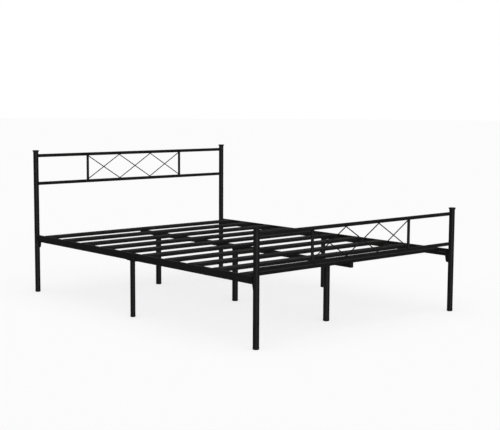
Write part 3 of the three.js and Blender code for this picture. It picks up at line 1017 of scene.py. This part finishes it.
def fastener_tree():
    tree, given, add = new_tree("set_fasteners", {"Shape": "Object", "Seed": "Int"})[:3]
    shape = add("GeometryNodeObjectInfo", {"Object": given["Shape"]}, output="Geometry")
    facing = add("GeometryNodeInputNamedAttribute", {"Name": "facing"}, data_type="FLOAT_VECTOR")
    aimed = add("FunctionNodeAlignRotationToVector", {"Vector": facing}, axis="Z")
    inputs = {3: math.tau, "Seed": given["Seed"]}
    spin = add("FunctionNodeRandomValue", inputs, output=1, data_type="FLOAT")
    turn = add("FunctionNodeAxisAngleToRotation", {"Axis": (0, 0, 1), "Angle": spin})
    inputs = {"Rotation": aimed, "Rotate By": turn}
    spun = add("FunctionNodeRotateRotation", inputs, rotation_space="LOCAL")
    inputs = {"Points": given["Geometry"], "Instance": shape, "Rotation": spun}
    return end_tree(tree, add("GeometryNodeInstanceOnPoints", inputs), given["Finish"])


# %% [markdown]
# Fasteners go through each bracket and rail, each saddle and rail, each joint's sleeve, and
# down through each slat's end. A bolt has its head outside and its nut inside.

# %% Fastener places
SADDLE_BOLT_SPACING = 50 * MM
JOINT_BOLT_RISE = 10 * MM
SLEEVE_BOLT_SPACING = 130 * MM
SLAT_SCREW_INSET = 14 * MM


def through_bolt(x_head, x_nut, y, z):
    """A bolt across the bed: its head faces away from its nut."""
    out = math.copysign(1.0, x_head - x_nut)
    heads.append(((x_head, y, z), (out, 0, 0)))
    nuts.append(((x_nut, y, z), (-out, 0, 0)))


heads, nuts, screws = [], [], []
for side, sign in SIDES.items():
    rail_x = box_of(f"head_post_{side}").middle.x
    outside, inside = rail_x + sign * RAIL_WIDTH / 2, rail_x - sign * RAIL_WIDTH / 2
    for end in ENDS:
        for z in BRACKET_BOLT_HEIGHTS:
            through_bolt(outside, inside, bracket_bolt_y(end), z)
    for along in (-1, 1):
        through_bolt(outside, inside, along * SLEEVE_BOLT_SPACING / 2, RAIL_BOTTOM + JOINT_BOLT_RISE)
    for slat in slat_boxes:
        x = sign * (slat.high.x - SLAT_SCREW_INSET)
        screws.append(((x, slat.middle.y, slat.high.z), (0, 0, 1)))
        nuts.append(((x, slat.middle.y, slat.low.z - LEDGE_THICKNESS), (0, 0, -1)))
for middle_leg in legs:
    reach = middle_leg.rail_half + SADDLE_PLAY + SADDLE_SHEET
    out = -1 if middle_leg.x <= 0 else 1
    z = middle_leg.saddle + SADDLE_SHEET + SADDLE_PLAY + JOINT_BOLT_RISE
    for along in (-1, 1):
        y = middle_leg.y + along * SADDLE_BOLT_SPACING / 2
        through_bolt(middle_leg.x + out * reach, middle_leg.x - out * reach, y, z)
for along in (-1, 1):
    y, z = along * SLEEVE_BOLT_SPACING / 2, CENTRE_RAIL_BOTTOM + JOINT_BOLT_RISE
    through_bolt(-CENTRE_RAIL_HALF, CENTRE_RAIL_HALF, y, z)
print("bolts:", len(heads), "screws:", len(screws))

# %% Fasteners
setter = fastener_tree()
for (name, shape), places in zip(shapes.items(), (heads, nuts, screws)):
    template = bpy.data.objects.new(name + "_shape", shape)
    points, facings = zip(*places)
    points = seed_mesh(name, points, facing=facings)
    mesh = grow(name, setter, points, {"Shape": template, "Seed": SEED, "Finish": zinc})
    bpy.data.objects.remove(template)
    add_piece(name, mesh, zinc)

# %% [markdown]
# ## Weld beads
#
# Under the powder, every welded joint has a bead: a string of small puddles, each laid half
# over the last. Drawn as a tube along the joint's line, whose radius swells once per puddle, it
# costs few faces and follows any joint. First the lines are worked out from the tubes that
# meet, and then a tree turns them into beads.

# %% Weld line helpers
WIRE_WELD_LENGTH, WIRE_WELD_OFFSET = 12 * MM, 4.2 * MM
STITCH_LENGTH, STITCH_SPACING = 30 * MM, 190 * MM
RAIL_BEAD, UPRIGHT_BEAD, WIRE_BEAD = 1.9 * MM, 1.6 * MM, 1.5 * MM
BRACKET_BEAD, LEDGE_BEAD, LEG_BEAD = 1.7 * MM, 1.4 * MM, 1.8 * MM
LEG_TURNS = angles(48) + [0.0, 0.15]
weld_lines = []


def weld(points, bead):
    weld_lines.append((points, bead))


def weld_tube(centre, inward, radius, seat, bead):
    """All round the end of a tube that runs inward from a round member's axis."""
    across = Vector(inward).cross(Vector((0, 1, 0)))
    turns = [math.tau * i / 48 for i in range(50)]
    weld(coped_ring(Vector(centre), across, Vector(inward), radius, seat, turns), bead)


def weld_straight(start, end, bead):
    weld([Vector(start).lerp(Vector(end), i / 12) for i in range(13)], bead)


# %% Weld lines
def weld_panel(end):
    panel = panel_axes(end)
    for z in (panel.low, panel.high):
        for x, inward in ((panel.left, 1), (panel.right, -1)):
            weld_tube((x, panel.y, z), (inward, 0, 0), RAIL_RADIUS, POST_RADIUS, RAIL_BEAD)
    radius = box_of(f"{end}_upright_left").size.x / 2
    for x in panel.uprights:
        for z, inward in ((panel.low, 1), (panel.high, -1)):
            weld_tube((x, panel.y, z), (0, 0, inward), radius, RAIL_RADIUS, UPRIGHT_BEAD)


def weld_lattice(end):
    """Each wire is welded to a rail at each of its bends between the uprights."""
    panel = panel_axes(end)
    spacing = (panel.uprights[1] - panel.uprights[0]) / LATTICE_CELLS
    half = WIRE_WELD_LENGTH / 2
    for layer in (-1, 1):
        y = panel.y + layer * WIRE_WELD_OFFSET
        for bend in range(1, LATTICE_CELLS):
            x = panel.uprights[0] + bend * spacing
            raised = (bend % 2 == 1) == (layer > 0)
            z = panel.high - RAIL_RADIUS if raised else panel.low + RAIL_RADIUS
            weld_straight((x - half, y, z), (x + half, y, z), WIRE_BEAD)


def weld_bracket(end, side):
    plate, post = box_of(f"{end}_bracket_{side}"), box_of(f"{end}_post_{side}").middle
    low, high = plate.low.z + 2 * MM, plate.high.z - 2 * MM
    for x in (plate.low.x, plate.high.x):
        y = post.y - ENDS[end] * math.sqrt(POST_RADIUS**2 - (x - post.x) ** 2)
        weld_straight((x, y, low), (x, y, high), BRACKET_BEAD)


def weld_ledge(side):
    """Short stitches under the ledge, as a long bead would warp the tube."""
    z = first_slat.low.z - LEDGE_THICKNESS
    rail = box_of(f"side_rail_{side}_head")
    x = SIDES[side] * (abs(rail.middle.x) + rail.size.x / 2 - RAIL_WIDTH)
    half = STITCH_LENGTH / 2
    for i in range(-4, 5):
        y = (i + 0.5 * math.copysign(1, i or 1)) * STITCH_SPACING
        weld_straight((x, y - half, z), (x, y + half, z), LEDGE_BEAD)


for end in ENDS:
    weld_panel(end)
    weld_lattice(end)
for end in ENDS:
    for side in SIDES:
        weld_bracket(end, side)
for side in SIDES:
    weld_ledge(side)
for at in legs:
    ring = [(at.x + at.radius * math.cos(a), at.y + at.radius * math.sin(a)) for a in LEG_TURNS]
    weld([Vector((x, y, at.saddle)) for x, y in ring], LEG_BEAD)
print("weld lines:", len(weld_lines))


# %% Weld tree
def weld_tree():
    kinds = dict.fromkeys(("Puddle spacing", "Swell", "Wander"), "Float")
    tree, given, add, work_out = new_tree("weld_beads", kinds)
    line = add("GeometryNodeMeshToCurve", {"Mesh": given["Geometry"]})
    step = work_out("DIVIDE", given["Puddle spacing"], 4.0)
    even = add("GeometryNodeResampleCurve", {"Curve": line, "Length": step}, mode="LENGTH")
    gone = add("GeometryNodeSplineParameter", output="Length")
    total = add("GeometryNodeSplineLength")
    turns = work_out("DIVIDE", gone, given["Puddle spacing"])
    wave = work_out("ABSOLUTE", work_out("SINE", work_out("MULTIPLY", turns, math.pi)))
    puddle = work_out("MULTIPLY_ADD", wave, given["Swell"], 1.0)
    bead = add("GeometryNodeInputNamedAttribute", {"Name": "bead"}, data_type="FLOAT")
    nearest_end = work_out("MINIMUM", work_out("SUBTRACT", total, gone), gone)
    taper = work_out("ADD", work_out("DIVIDE", nearest_end, bead), 0.35)
    taper = work_out("MINIMUM", taper, 1.0)
    radius = work_out("MULTIPLY", work_out("MULTIPLY", puddle, taper), bead)
    inputs = {"Vector": add("GeometryNodeInputPosition"), "Scale": 260.0, "Detail": 1.0}
    drift = add("ShaderNodeTexNoise", inputs, output="Color")
    centred = add("ShaderNodeVectorMath", {0: drift, 1: (0.5, 0.5, 0.5)}, operation="SUBTRACT")
    inputs = {0: centred, "Scale": given["Wander"]}
    offset = add("ShaderNodeVectorMath", inputs, operation="SCALE")
    moved = add("GeometryNodeSetPosition", {"Geometry": even, "Offset": offset})
    section = add("GeometryNodeCurvePrimitiveCircle", {"Resolution": 10, "Radius": 1.0})
    inputs = {"Curve": moved, "Profile Curve": section, "Scale": radius, "Fill Caps": True}
    return end_tree(tree, add("GeometryNodeCurveToMesh", inputs), given["Finish"])


# %% Weld beads
points, edges, bead = [], [], []
for line, radius in weld_lines:
    first = len(points)
    points += line
    bead += [radius] * len(line)
    edges += [(i, i + 1) for i in range(first, len(points) - 1)]
lines = seed_mesh("weld_lines", points, edges, bead=bead)
values = {"Puddle spacing": 1.9 * MM, "Swell": 0.22, "Wander": 0.5 * MM, "Finish": coated_tube}
add_piece("weld_beads", grow("weld_beads", weld_tree(), lines, values), coated_tube)

# %% [markdown]
# ## The solids that stay
#
# The sleeves inside the rail joints are hardly seen. They keep their shape and take the coat.

# %% The solids that stay
sleeves = [solid for node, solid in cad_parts.items() if "sleeve" in node]
for sleeve in sleeves:
    sleeve.data.materials.clear()
    sleeve.data.materials.append(coated_tube)
print("sleeves:", len(sleeves))
